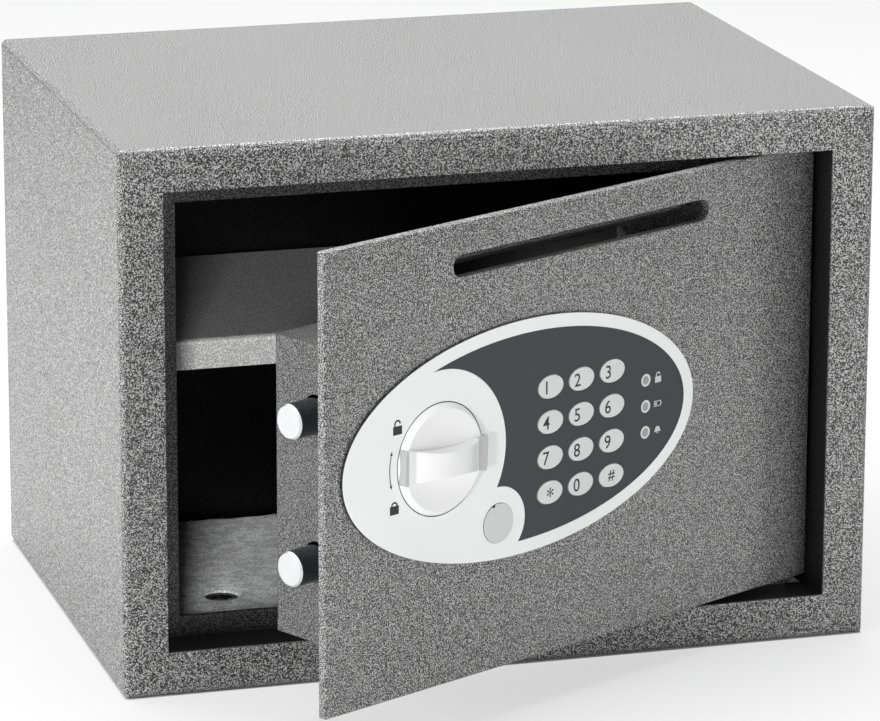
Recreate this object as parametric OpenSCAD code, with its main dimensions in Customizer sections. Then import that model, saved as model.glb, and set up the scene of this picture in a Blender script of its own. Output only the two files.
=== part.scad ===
// Home and office deposit safe: folded steel cabinet, hinged door standing ajar,
// two sliding bolts driven by a knob, a keypad in an oval escutcheon, a deposit
// slot with its chute, a lift-out shelf and a floor mat.
//
// Depths run from the front face of the cabinet (0) into it. The door and all
// that it carries are drawn as if it were shut, then turned about the hinge pins.

/* [Cabinet] */
// Width across the cabinet
body_w = 350; // [350:5:420]
// Height of the cabinet
body_h = 250; // [250:5:300]
// Depth from the front face to the back
body_d = 250; // [230:5:350]
// Thickness of the cabinet's sheet
sheet = 2; // [1.5:0.5:2]
// Radius of the outer corners and of the front edge
corner_r = 3; // [3:0.5:4]
// Width of the front face beside the door opening
side_rail = 20; // [20:1:24]
// Height of the front face under the door opening
bottom_rail = 20; // [20:1:24]
// Height of the front face over the door opening
top_rail = 19.5; // [19:0.5:24]
// Depth of the opening's sides, from the front face to the door stop
jamb_d = 22; // [22:1:26]
// Radius of the anchor holes in the base and the back
anchor_r = 5.5; // [4:0.5:7]
// Distance between the two anchor holes
anchor_pitch = 200; // [120:10:240]
// Height of the back's anchor holes above the underside
anchor_z = 190; // [160:5:220]

/* [Door] */
// How far the door stands open
door_angle = 27.3; // [0:0.1:92]
// Thickness of the door plate
door_t = 4; // [3:0.5:4]
// Gap beside the door's free edge
door_gap = 3.5; // [3:0.5:4]
// Radius of the hinge pins
hinge_pin_r = 3.5; // [3:0.1:3.5]
// Length of the deposit slot
slot_w = 158; // [120:1:170]
// Height of the deposit slot
slot_h = 10; // [8:0.5:12]

/* [Lock] */
// Radius of the two bolts
bolt_r = 8; // [6:0.5:8]
// How far the bolts stand out of the lock box when drawn back
bolt_out = 16.1; // [12:0.1:16.1]
// Throw of the bolts
throw = 14; // [10:0.5:14]
// Angle the knob turns to throw the bolts
knob_turn = 60; // [60:1:60]
// Depth of the lock box behind the door plate
lock_box_d = 56; // [56:1:58]

/* [Escutcheon] */
// Length of the oval escutcheon
oval_w = 213.9; // [205:0.1:220]
// Height of the oval escutcheon
oval_h = 106; // [100:0.1:110]
// How far the escutcheon's face stands from the door plate
oval_t = 1.5; // [1.5:0.1:2.5]
// Radius of the knob
knob_r = 25; // [22:0.5:26]
// Travel of each key
key_travel = 1; // [0.5:0.1:1]

/* [Shelf] */
// Height of the shelf's upper face
shelf_z = 138.2; // [120:0.1:145]
// Depth at which the shelf starts
shelf_front = 92; // [90:1:120]

/* [Hidden] */
$fn = 64;

// colours
paint = [0.42, 0.42, 0.41];
paint_light = [0.72, 0.72, 0.70];
pale = [0.90, 0.91, 0.91];
panel_dark = [0.27, 0.27, 0.29];
steel = [0.72, 0.73, 0.74];
chrome = [0.86, 0.86, 0.87];
zinc = [0.78, 0.77, 0.72];
brass = [0.80, 0.66, 0.34];
felt = [0.74, 0.75, 0.75];
board_green = [0.10, 0.36, 0.22];
black = [0.08, 0.08, 0.08];

// door opening
open_x = body_w / 2 - side_rail;
open_z0 = bottom_rail;
open_z1 = body_h - top_rail;
stop_w = 10;
stop_x = open_x - stop_w - 0.3;
stop_z0 = open_z0 + stop_w - 0.5;
stop_z1 = open_z1 - stop_w;
seam = 0.1;

// hinge: the pins stand behind the door plate, inside the cabinet
door_back = jamb_d - 0.3;
door_front = door_back - door_t;
pivot_x = open_x - 12;
pivot_y = door_front + 10.3;
door_x0 = -open_x + door_gap;
door_x1 = pivot_x + 7.5;
door_z0 = open_z0 + 3.7;
door_z1 = open_z1 - 1.8;
stop_end = pivot_x + 1.5;
eye_r = 6;
bracket_t = 3;
bracket_upper_z = stop_z1 + 1.5;
bracket_lower_z = stop_z0 - bracket_t + 0.1;
pin_fit = 0.1;
knuckle_len = 28;
knuckle_z = [31, 188];

// deposit slot, its chute and its baffle
slot_x = 2;
slot_z = door_z1 - 19.1;
chute_x0 = slot_x - slot_w / 2 - 5;
chute_x1 = slot_x + slot_w / 2 + 5;
chute_sheet = 1.2;

// lock box and what is in it
lock_x0 = door_x0 + 25.5;
lock_x1 = 70;
lock_z0 = 44.5;
lock_z1 = 178;
lock_y1 = door_back + lock_box_d;
lock_wall = 1.2;
bolt_y = door_back + 29.1;
bolt_z = [147, 81.4];
carrier_x = lock_x0 + 16;
carrier_t = 3;
web_y = bolt_y + 6.2;
web_x1 = lock_x0 + 68;
web_z0 = 97;
web_z1 = 158;
stud_x = lock_x0 + 26;
stud_z = [153, 112];
stud_r = 3;
slot_fit = 0.5;
plunger_x = lock_x0 + 42;
plunger_r = 3;
post_r = 4;
post_x = [lock_x0 + 8, lock_x1 - 8];
post_z = [lock_z0 + 8.5, lock_z1 - 8];
window_x0 = -12;
window_x1 = 48;
window_z0 = 62;
window_z1 = 120;
cell_r = 7.1;
cell_len = 50.5;
cell_pitch = 14.8;

// knob, spindle and crank
knob_x = -85.9;
knob_z = 126.9;
spindle_r = 4;
crank_r = throw / (2 * sin(knob_turn / 2));
crank_pin_r = 3;
crank_y = web_y - 6;
crank_pin_x = knob_x + crank_r * sin(knob_turn / 2);
crank_pin_z = knob_z + crank_r * cos(knob_turn / 2);

// escutcheon, keypad and override lock
oval_x = -35.7;
oval_z = 126.7;
oval_rim = 6.2;
gasket_t = 0.5;
panel_t = 0.4;
knob_field_r = 39.4;
cap_x = -50.9;
cap_z = 90.9;
cap_r = 8.95;
cap_field_r = 16.3;
barrel_r = 7.5;
plug_r = 5.5;
key_x = [-19.4, -0.3, 18.9];
key_z = [146.5, 130.5, 114.4, 98.4];
key_w = 15.4;
key_h = 10.4;
key_proud = 0.3;
led_x = 40.4;
led_z = [138.1, 126, 114];
led_r = 2.9;
board_t = 1.6;
board_top = -1.5;
board_x0 = key_x[0] - 11.5;
board_x1 = led_x + 4;
board_z0 = key_z[3] - 8;
board_z1 = key_z[0] + 8;
board_cut_low = 17;
board_cut_high = 8;
housing_gap = 0.3;
housing_wall = 1.2;
housing_floor = 0.8;

// ---------- helpers ----------

// a block between two opposite corners
module block(a, b) translate(a) cube(b - a);

// a round bar along X, Y or Z
module rod_x(x0, x1, y, z, r) translate([x0, y, z]) rotate([0, 90, 0]) cylinder(h = x1 - x0, r = r);
module rod_y(y0, y1, x, z, r) translate([x, y1, z]) rotate([90, 0, 0]) cylinder(h = y1 - y0, r = r);
module rod_z(z0, z1, x, y, r) translate([x, y, z0]) cylinder(h = z1 - z0, r = r);

// a flat shape drawn in X and Z, given its depth
module across(y0, y1) translate([0, y1, 0]) rotate([90, 0, 0]) linear_extrude(y1 - y0) children();

// the same, measured outwards from the front of the door plate
module standing(t0, t1) across(door_front - t1, door_front - t0) children();

// a shape drawn in Y and Z, given its width
module along(x0, x1) translate([x0, 0, 0]) rotate([90, 0, 90]) linear_extrude(x1 - x0) children();

// a rectangle with round corners, about its centre
module round_rect(w, h, r) {
  square([w - 2 * r, h], center = true);
  square([w, h - 2 * r], center = true);
  for (x = [-1, 1], z = [-1, 1]) translate([x * (w / 2 - r), z * (h / 2 - r)]) circle(r);
}

// a slot with half-round ends, about its centre, its length given end to end
module long_hole(l, w) {
  square([l - w, w], center = true);
  for (s = [-1, 1]) translate([s * (l - w) / 2, 0]) circle(w / 2);
}

// an oval about its centre
module oval(w, h, n = 96) polygon([for (i = [0 : n - 1]) [w / 2 * cos(i * 360 / n), h / 2 * sin(i * 360 / n)]]);

// what rounding takes off a corner at the origin, to be swept along an edge
module edge_waste(r) difference() {
  translate([-1, -1]) square(r + 1);
  translate([r, r]) circle(r);
}

// a plate whose front edges and corners are round: x0, z0 to x1, z1, front at y0
module soft_plate(x0, z0, x1, z1, y0, y1, r) difference() {
  across(y0, y1) translate([(x0 + x1) / 2, (z0 + z1) / 2]) round_rect(x1 - x0, z1 - z0, r);
  along(x0 - 1, x1 + 1) translate([y0, z0]) edge_waste(r);
  along(x0 - 1, x1 + 1) translate([y0, z1]) mirror([0, 1]) edge_waste(r);
  translate([0, 0, z0 - 1]) linear_extrude(z1 - z0 + 2) {
    translate([x0, y0]) edge_waste(r);
    translate([x1, y0]) mirror([1, 0]) edge_waste(r);
  }
}

// from depths to the part's own frame, whose origin is under the cabinet's middle
module in_body() translate([0, -body_d / 2, 0]) children();

// from the shut door to the door standing ajar
module on_door() in_body() translate([pivot_x, pivot_y, 0]) rotate([0, 0, door_angle])
  translate([-pivot_x, -pivot_y, 0]) children();

// ---------- cabinet ----------

// top, sides and base, folded from one sheet
module body_wrap() color(paint_light) in_body() difference() {
  across(corner_r, body_d) translate([0, body_h / 2]) difference() {
    round_rect(body_w, body_h, corner_r);
    round_rect(body_w - 2 * sheet, body_h - 2 * sheet, corner_r - sheet);
  }
  for (x = [-1, 1]) rod_z(-1, sheet + 1, x * anchor_pitch / 2, body_d / 2, anchor_r);
}

// front face round the opening, with its rounded outer edge
module front_frame() color(paint) in_body() difference() {
  soft_plate(-body_w / 2, 0, body_w / 2, body_h, 0, corner_r, corner_r);
  across(sheet, corner_r + 1) translate([0, body_h / 2])
    round_rect(body_w - 2 * sheet, body_h - 2 * sheet, corner_r - sheet);
  across(-1, corner_r + 1) translate([0, (open_z0 + open_z1) / 2])
    square([2 * open_x, open_z1 - open_z0], center = true);
}

// back sheet, set in flush and welded all round, with two anchor holes
module back_panel() color(paint) in_body() difference() {
  across(body_d - sheet, body_d) translate([0, body_h / 2])
    round_rect(body_w - 2 * sheet, body_h - 2 * sheet, corner_r - sheet);
  for (x = [-1, 1]) rod_y(body_d - sheet - 1, body_d + 1, x * anchor_pitch / 2, anchor_z, anchor_r);
}

// the four strips that line the opening
module door_jamb() color(paint) in_body() {
  for (s = [-1, 1]) translate([s * (open_x + sheet / 2), 0, 0])
    block([-sheet / 2, sheet, open_z0 - sheet], [sheet / 2, jamb_d, open_z1 + sheet]);
  for (z = [open_z0 - sheet, open_z1])
    block([-open_x + seam, sheet, z], [open_x - seam, jamb_d, z + sheet]);
}

// the flange that the shut door rests against, left open at the hinge side
module door_stop() color(paint) in_body() {
  block([-open_x - sheet, jamb_d, open_z0 - sheet], [-stop_x, jamb_d + sheet, open_z1 + sheet]);
  block([-stop_x + seam, jamb_d, stop_z1], [stop_end, jamb_d + sheet, open_z1 + sheet]);
  block([-stop_x + seam, jamb_d, open_z0 - sheet], [stop_end, jamb_d + sheet, stop_z0]);
}

// an eye welded behind the door stop, bored for a hinge pin
module hinge_bracket(z) color(steel) in_body() difference() {
  union() {
    block([pivot_x - 17, jamb_d + sheet, z], [pivot_x, pivot_y + eye_r, z + bracket_t]);
    intersection() {
      rod_z(z, z + bracket_t, pivot_x, pivot_y, eye_r);
      block([pivot_x - eye_r, jamb_d + sheet, z], [pivot_x + eye_r, pivot_y + eye_r, z + bracket_t]);
    }
  }
  rod_z(z - 1, z + bracket_t + 1, pivot_x, pivot_y, hinge_pin_r + pin_fit);
}
module hinge_bracket_upper() hinge_bracket(bracket_upper_z);
module hinge_bracket_lower() hinge_bracket(bracket_lower_z);

// the washer that carries the door's weight on the lower eye
module hinge_washer() color(brass) in_body() difference() {
  rod_z(bracket_lower_z + bracket_t, knuckle_z[0] - 0.05, pivot_x, pivot_y, 5.5);
  rod_z(bracket_lower_z, knuckle_z[0] + 1, pivot_x, pivot_y, hinge_pin_r + pin_fit);
}

// two folded angles on the side walls that carry the shelf
ledge_y = [shelf_front + 8, body_d - 12];
module shelf_ledges() color(paint) in_body() for (s = [-1, 1]) mirror([s < 0 ? 1 : 0, 0, 0])
  difference() {
    block([body_w / 2 - sheet - 12, ledge_y[0], shelf_z - 17], [body_w / 2 - sheet, ledge_y[1], shelf_z - 1.5]);
    block([body_w / 2 - sheet - 13, ledge_y[0] - 1, shelf_z - 18],
          [body_w / 2 - sheet - 1.5, ledge_y[1] + 1, shelf_z - 3]);
  }

// lift-out shelf: flat sheet with a front lip turned down and back, and a low rear lip
shelf_lip = 14;
shelf_t = 1.5;
module shelf() color(paint_light) in_body() {
  x = body_w / 2 - sheet - 1.5;
  y1 = body_d - sheet - 2;
  bend = 2.5;
  along(-x, x) {
    translate([shelf_front + bend, shelf_z - bend]) intersection() {
      difference() {
        circle(bend);
        circle(bend - shelf_t);
      }
      translate([-bend, 0]) square(bend);
    }
    translate([shelf_front + bend, shelf_z - shelf_t]) square([y1 - shelf_front - bend, shelf_t]);
    translate([shelf_front, shelf_z - shelf_lip]) square([shelf_t, shelf_lip - bend]);
    translate([shelf_front, shelf_z - shelf_lip]) square([6, shelf_t]);
    translate([y1 - shelf_t, shelf_z - 8]) square([shelf_t, 8]);
  }
}

// felt mat on the floor, with holes over the base's anchor holes
module floor_mat() color(felt) in_body() difference() {
  block([-body_w / 2 + sheet + 3, jamb_d + sheet + 3, sheet], [body_w / 2 - sheet - 3, body_d - sheet - 3, sheet + 3]);
  for (x = [-1, 1]) rod_z(0, sheet + 4, x * anchor_pitch / 2, body_d / 2, anchor_r + 3);
}

// ---------- door ----------

// door plate with its slot and the holes behind the escutcheon
module door_plate() color(paint) on_door() difference() {
  soft_plate(door_x0, door_z0, door_x1, door_z1, door_front, door_back, 1);
  across(door_front - 1, door_back + 1) translate([slot_x, slot_z]) long_hole(slot_w, slot_h);
  rod_y(door_front - 1, door_back + 1, knob_x, knob_z, 8);
  rod_y(door_front - 1, door_back + 1, cap_x, cap_z, barrel_r);
  across(door_front - 1, door_back + 1) board_outline(housing_gap + housing_wall + 0.1);
}

// two knuckles welded to the back of the plate
module hinge_knuckles() color(steel) on_door() for (z = knuckle_z) difference() {
  union() {
    rod_z(z, z + knuckle_len, pivot_x, pivot_y, 5.5);
    block([pivot_x - 5.5, door_back, z], [pivot_x + 5.5, pivot_y, z + knuckle_len]);
    block([pivot_x - 23, door_back, z], [pivot_x - 5.5, door_back + 3, z + knuckle_len]);
  }
  rod_z(z - 1, z + knuckle_len + 1, pivot_x, pivot_y, hinge_pin_r);
}

// the two hinge pins, fixed in the knuckles and turning in the eyes
module hinge_pins() color(chrome) on_door() {
  rod_z(bracket_lower_z - 1, knuckle_z[0] + knuckle_len, pivot_x, pivot_y, hinge_pin_r);
  rod_z(knuckle_z[1], bracket_upper_z + bracket_t + 1, pivot_x, pivot_y, hinge_pin_r);
}

// chute behind the slot: a floor that falls to the back between two cheeks
chute_y1 = lock_y1 + 1;
floor_line = [[door_back, slot_z - 6.2], [door_back + 1.5, slot_z - 6.2], [door_back + 8, slot_z - 10.5],
              [chute_y1, lock_z1 + 3]];
baffle_line = [[door_back, slot_z + 8.2], [door_back + 12, slot_z + 8.2], [door_back + 15, slot_z - 2],
               [door_back + 22, slot_z - 6], [chute_y1, lock_z1 + 13]];

// a sheet of even thickness under a line of bends
function unit(v) = v / norm(v);
function side(a, b) = let (d = unit(b - a)) [d[1], -d[0]];
function under(pts, t) = [for (i = [0 : len(pts) - 1])
  let (n1 = side(pts[max(i - 1, 0)], pts[max(i, 1)]),
       n2 = side(pts[min(i, len(pts) - 2)], pts[min(i + 1, len(pts) - 1)]))
  pts[i] + t * (n1 + n2) / (1 + n1 * n2)];
module ribbon(pts, t) {
  low = under(pts, t);
  polygon(concat(pts, [for (i = [len(low) - 1 : -1 : 0]) low[i]]));
}
module deposit_chute() color(paint) on_door() {
  along(chute_x0 + chute_sheet, chute_x1 - chute_sheet) ribbon(floor_line, chute_sheet);
  for (x = [chute_x0, chute_x1 - chute_sheet]) along(x, x + chute_sheet)
    polygon(concat(under(floor_line, chute_sheet),
                   [[chute_y1, lock_z1 + 14], [door_back + 24, slot_z + 9.2], [door_back, slot_z + 9.2]]));
}

// baffle over the chute, bent so that nothing can be drawn back up it
module deposit_baffle() color(paint) on_door()
  along(chute_x0 + chute_sheet, chute_x1 - chute_sheet) ribbon(baffle_line, chute_sheet);

// ---------- lock box ----------

// cover over the lock, open to the door plate, with bolt holes and a battery window
module lock_box() color(paint) on_door() difference() {
  w = lock_x1 - lock_x0;
  translate([0, 0, lock_z0]) linear_extrude(lock_z1 - lock_z0) difference() {
    union() {
      translate([(lock_x0 + lock_x1) / 2, (door_back + lock_y1) / 2]) round_rect(w, lock_box_d, 2);
      translate([lock_x0, door_back]) square([w, 5]);
    }
  }
  block([lock_x0 + lock_wall, door_back - 1, lock_z0 + lock_wall],
        [lock_x1 - lock_wall, lock_y1 - lock_wall, lock_z1 - lock_wall]);
  for (z = bolt_z) rod_x(lock_x0 - 1, lock_x0 + 3, bolt_y, z, bolt_r + 1);
  block([window_x0, lock_y1 - 3, window_z0], [window_x1, lock_y1 + 1, window_z1]);
  for (x = post_x, z = post_z) rod_y(lock_y1 - 3, lock_y1 + 1, x, z, 2);
}

// posts welded to the plate that carry the cover
module cover_posts() color(steel) on_door() for (x = post_x, z = post_z)
  difference() {
    rod_y(door_back, lock_y1 - lock_wall, x, z, post_r);
    rod_y(lock_y1 - lock_wall - 10, lock_y1, x, z, 2);
  }

// pan-head screws with a cross recess
module cover_screws() color(zinc) on_door() for (x = post_x, z = post_z) difference() {
  union() {
    rod_y(lock_y1, lock_y1 + 2.2, x, z, 4);
    rod_y(lock_y1 - lock_wall - 8, lock_y1, x, z, 2);
  }
  for (a = [0, 90]) translate([x, lock_y1 + 1.7, z]) rotate([0, a, 0]) cube([4.4, 1.4, 0.9], center = true);
}

// two shouldered studs that the bolt carrier slides on
module guide_studs() color(steel) on_door() for (z = stud_z) {
  rod_y(door_back, web_y + carrier_t + 0.4, stud_x, z, stud_r);
  rod_y(web_y + carrier_t + 0.4, web_y + carrier_t + 3, stud_x, z, 5);
}

// carrier: end plate that joins the bolts, and a web with the crank and guide slots
module bolt_carrier() color(zinc) on_door() {
  difference() {
    union() {
      block([carrier_x, bolt_y - 9, bolt_z[1] - 11], [carrier_x + carrier_t, web_y + carrier_t, bolt_z[0] + 11]);
      block([carrier_x, web_y, web_z0], [web_x1, web_y + carrier_t, web_z1]);
    }
    for (z = bolt_z) rod_x(carrier_x - 1, carrier_x + carrier_t + 1, bolt_y, z, 4);
    across(web_y - 1, web_y + carrier_t + 1) {
      translate([crank_pin_x, (crank_pin_z + knob_z + crank_r) / 2]) rotate(90)
        long_hole(2 * (crank_pin_r + slot_fit) + 2.5, 2 * (crank_pin_r + slot_fit));
      for (z = stud_z) translate([stud_x + throw / 2, z])
        long_hole(throw + 2 * (stud_r + slot_fit), 2 * (stud_r + 0.2));
      for (x = [plunger_x, plunger_x + throw]) translate([x, web_z0])
        square([2 * plunger_r + 1, 14], center = true);
    }
  }
}

// one bolt: turned bar with a chamfered nose and a spigot riveted into the carrier
module bolt(z) color(chrome) on_door() translate([lock_x0 - bolt_out, bolt_y, z]) rotate([0, 90, 0]) {
  len = carrier_x - lock_x0 + bolt_out;
  rotate_extrude() polygon([[0, 0], [bolt_r - 0.9, 0], [bolt_r, 0.9], [bolt_r, len], [4, len],
                            [4, len + carrier_t + 1.5], [0, len + carrier_t + 1.5]]);
}
module bolt_upper() bolt(bolt_z[0]);
module bolt_lower() bolt(bolt_z[1]);

// solenoid: coil in an open frame, below the carrier's notches
sol_z0 = 58;
sol_z1 = 88;
module solenoid_body() color(black) on_door() difference() {
  union() {
    rod_z(sol_z0 + 2, sol_z1 - 2, plunger_x, web_y + 1.5, 9.5);
    for (z = [sol_z0, sol_z1 - 2]) block([plunger_x - 11, web_y - 9, z], [plunger_x + 11, web_y + 12, z + 2]);
    block([plunger_x - 11, web_y - 11, sol_z0], [plunger_x + 11, web_y - 9, sol_z1]);
    for (z = [sol_z0 + 6, sol_z1 - 8]) rod_y(door_back, web_y - 11, plunger_x, z, 3);
  }
  rod_z(sol_z0 + 4, sol_z1 + 1, plunger_x, web_y + 1.5, plunger_r + 0.1);
}

// plunger that rises into a notch and blocks the carrier
module solenoid_plunger() color(steel) on_door()
  rod_z(sol_z0 + 12, web_z0 - 0.5, plunger_x, web_y + 1.5, plunger_r);

// control board on four pillars
module control_board() color(board_green) on_door() {
  block([-10, door_back + 6, 156], [54, door_back + 7.6, 176]);
  for (x = [-6, 50], z = [160, 172]) rod_y(door_back, door_back + 6, x, z, 2.5);
  block([2, door_back + 7.6, 158], [18, door_back + 17, 170]);
  rod_y(door_back + 7.6, door_back + 18, 26, 166, 4);
  block([34, door_back + 7.6, 160], [46, door_back + 10, 170]);
}

// battery tray: four troughs, one for each cell
tray_y0 = lock_y1 - 21;
cell_y = lock_y1 - 10.5;
module battery_tray() color(black) on_door() difference() {
  block([window_x0 - 1, tray_y0, window_z0 - 1], [window_x1 + 1, lock_y1 - lock_wall, window_z1 + 1]);
  block([window_x0 + 0.4, cell_y, window_z0 + 0.6], [window_x1 - 0.4, lock_y1 + 1, window_z1 - 0.6]);
  for (i = [0 : 3]) rod_z(window_z0 + 2.5, window_z1 - 2.5, window_x0 + 7.8 + i * cell_pitch, cell_y, cell_r + 0.15);
}

// four size AA cells, laid alternately
module batteries() color(steel) on_door() for (i = [0 : 3])
  translate([window_x0 + 7.8 + i * cell_pitch, cell_y, (window_z0 + window_z1) / 2]) rotate([i % 2 * 180, 0, 0])
    translate([0, 0, -cell_len / 2]) {
      cylinder(h = cell_len - 1.5, r = cell_r - 0.1);
      cylinder(h = cell_len, r = 2.75);
    }

// sliding cover over the cells, with finger ribs
cover_x0 = window_x0 - 5;
cover_x1 = window_x1 + 5;
module battery_cover() color(black) on_door() {
  block([cover_x0, lock_y1 + 0.2, window_z0 - 4], [cover_x1, lock_y1 + 2, window_z1 + 4]);
  block([window_x0 + 0.8, lock_y1 - 2.2, window_z0 + 1], [window_x1 - 12.6, lock_y1 + 0.2, window_z1 - 1]);
  for (i = [0 : 4]) block([cover_x1 - 9 - 3 * i, lock_y1 + 2, 82], [cover_x1 - 7.8 - 3 * i, lock_y1 + 2.8, 100]);
}

// barrel of the emergency lock, through the plate behind the cap
barrel_y1 = door_back + 22;
module override_barrel() color(steel) on_door() difference() {
  union() {
    rod_y(door_front + 0.2, barrel_y1, cap_x, cap_z, barrel_r);
    rod_y(door_back, door_back + 3, cap_x, cap_z, barrel_r + 3);
  }
  rod_y(door_front - 1, barrel_y1 + 1, cap_x, cap_z, plug_r + 0.08);
}

// plug with its keyway, and the cam at its tail
module override_plug() color(brass) on_door() difference() {
  union() {
    rod_y(door_front + 0.3, barrel_y1 + 1, cap_x, cap_z, plug_r);
    across(barrel_y1 + 1, barrel_y1 + 4) translate([cap_x, cap_z]) {
      circle(6.5);
      translate([-3, 0]) square([6, 12]);
      translate([0, 12]) circle(3);
    }
  }
  block([cap_x - 0.8, door_front - 1, cap_z - 4], [cap_x + 0.8, door_front + 14, cap_z + 4]);
}

// round cap over the keyhole, with a nick for a fingernail
cap_t0 = 0.05;
module keyhole_cap() color([0.74, 0.75, 0.76]) on_door() difference() {
  union() {
    rod_y(door_front - oval_t - 0.2, door_front - cap_t0, cap_x, cap_z, cap_r);
    rod_y(door_front - oval_t - 0.4, door_front - cap_t0, cap_x, cap_z, cap_r - 0.3);
  }
  rod_y(door_front - oval_t - 1, door_front - oval_t + 0.4, cap_x - 2.9, cap_z + 8.3, 0.9);
}

// ---------- knob ----------

// bush in the door plate
module spindle_bush() color(brass) on_door() difference() {
  union() {
    rod_y(door_front - 0.1, door_back, knob_x, knob_z, 8);
    rod_y(door_back, door_back + 3, knob_x, knob_z, 11);
  }
  rod_y(door_front - 2, door_back + 4, knob_x, knob_z, spindle_r + 0.05);
}

// spindle from inside the grip to the crank
spindle_t = 9;
module knob_spindle() color(steel) on_door() rod_y(door_front - spindle_t, crank_y + 4, knob_x, knob_z, spindle_r);

// crank arm on the spindle's end, with the pin that moves the carrier
module crank() color(zinc) on_door() {
  difference() {
    across(crank_y, crank_y + 4) translate([knob_x, knob_z]) rotate(-knob_turn / 2) {
      circle(9);
      translate([-5, 0]) square([10, crank_r]);
      translate([0, crank_r]) circle(5);
    }
    rod_y(crank_y - 1, crank_y + 5, knob_x, knob_z, spindle_r);
  }
  rod_y(crank_y + 4, web_y + carrier_t + 1.5, crank_pin_x, crank_pin_z, crank_pin_r);
}

// domed knob, let into the escutcheon, its front dished inside a rim
dial_t0 = 0.3;
dome_h = 12.4;
crown = oval_t - dial_t0 + dome_h;
dome_r = (knob_r * knob_r + dome_h * dome_h) / (2 * dome_h);
rim_w = 2.3;
rim_h = crown - dome_r + sqrt(dome_r * dome_r - pow(knob_r - rim_w, 2));
dish_depth = 1.9;
dish_r = (pow(knob_r - rim_w, 2) + dish_depth * dish_depth) / (2 * dish_depth);
module dial_profile() difference() {
  intersection() {
    square([knob_r, crown]);
    translate([0, crown - dome_r]) circle(dome_r, $fn = 240);
  }
  translate([0, rim_h - dish_depth + dish_r]) circle(dish_r, $fn = 720);
}
module knob_revolve() translate([knob_x, door_front - dial_t0, knob_z]) rotate([90, 0, 0])
  rotate_extrude($fn = 128) children();
module knob_dial() color(pale) on_door() difference() {
  knob_revolve() dial_profile();
  rod_y(door_front - spindle_t, door_front + 4, knob_x, knob_z, spindle_r);
}

// grip bar across the knob: waisted, arched, with a flat land at each end
grip_w = 15.6;
grip_waist = 10.6;
grip_end = knob_r - 0.7;
grip_tilt = 2.3;
grip_h = oval_t - dial_t0 + 10.2;
land_h = grip_h - 5.8;
waist_r = 100;
arch_r = 33;
module grip_outline() difference() {
  intersection() {
    square([2 * grip_end, grip_w], center = true);
    circle(knob_r, $fn = 240);
  }
  for (s = [-1, 1]) translate([0, s * (grip_waist / 2 + waist_r)]) circle(waist_r, $fn = 720);
}
module grip_side() intersection() {
  translate([-grip_end, 0]) square([2 * grip_end, grip_h]);
  union() {
    translate([0, grip_h - arch_r]) circle(arch_r, $fn = 240);
    translate([-grip_end, 0]) square([2 * grip_end, land_h]);
  }
}
module knob_grip() color(pale) on_door() difference() {
  translate([knob_x, door_front - dial_t0, knob_z]) rotate([0, grip_tilt, 0]) intersection() {
    rotate([90, 0, 0]) linear_extrude(grip_h + 1) grip_outline();
    translate([0, 0, -grip_w]) linear_extrude(2 * grip_w) mirror([0, 1]) grip_side();
  }
  knob_revolve() dial_profile();
  rod_y(door_front - spindle_t, door_front + 1, knob_x, knob_z, spindle_r);
}

// ---------- escutcheon and keypad ----------

// the dark part of the face: an oval less the knob's and the cap's round fields
module panel_outline(grow = 0) difference() {
  translate([oval_x, oval_z]) oval(oval_w - 2 * oval_rim + 2 * grow, oval_h - 2 * oval_rim + 2 * grow);
  translate([knob_x, knob_z]) circle(knob_field_r - grow, $fn = 120);
  translate([cap_x, cap_z]) circle(cap_field_r - grow);
  translate([knob_x - 66 - grow, oval_z - 60]) square([60, 120]);
  translate([cap_x - 65 - grow, cap_z - 60]) square([60, 66]);
}

// one key's outline, and the board's
module key_outline(grow = 0) oval(key_w + 2 * grow, key_h + 2 * grow, 40);
module each_key() for (x = key_x, z = key_z) translate([x, z]) children();
module board_outline(grow = 0) {
  slip = grow * tan(22.5);
  polygon([[board_x0 - grow, board_z0 - grow],
           [board_x1 - board_cut_low + slip, board_z0 - grow],
           [board_x1 + grow, board_z0 + board_cut_low - slip],
           [board_x1 + grow, board_z1 - board_cut_high + slip],
           [board_x1 - board_cut_high + slip, board_z1 + grow],
           [board_x0 - grow, board_z1 + grow]]);
}

// flat oval escutcheon with a stepped edge
module escutcheon() color(pale) on_door() difference() {
  union() {
    standing(gasket_t, oval_t - 0.2) translate([oval_x, oval_z]) oval(oval_w, oval_h, 160);
    standing(gasket_t, oval_t) translate([oval_x, oval_z]) oval(oval_w - 0.4, oval_h - 0.4, 160);
  }
  standing(oval_t - panel_t, oval_t + 1) panel_outline();
  standing(0, oval_t) each_key() key_outline(0.3);
  rod_y(door_front - oval_t - 1, door_front, knob_x, knob_z, knob_r + 0.4);
  rod_y(door_front - oval_t - 1, door_front, cap_x, cap_z, cap_r + 0.15);
  for (z = led_z) rod_y(door_front - oval_t - 1, door_front, led_x, z, led_r - 0.6);
}

// foam gasket that bonds the escutcheon to the plate, cut out for the keypad
module escutcheon_gasket() color(black) on_door() standing(0, gasket_t) difference() {
  translate([oval_x, oval_z]) oval(oval_w - 1.2, oval_h - 1.2, 160);
  board_outline(housing_gap + housing_wall + 2.4);
  translate([knob_x, knob_z]) circle(knob_r + 1.2);
  translate([cap_x, cap_z]) circle(cap_r + 1);
}

// dark keypad panel let into the escutcheon
module keypad_panel() color(panel_dark) on_door() difference() {
  standing(oval_t - panel_t, oval_t) panel_outline(-0.05);
  standing(oval_t - panel_t - 1, oval_t + 1) each_key() key_outline(0.3);
  for (z = led_z) rod_y(door_front - oval_t - 1, door_front, led_x, z, led_r);
}

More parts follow.
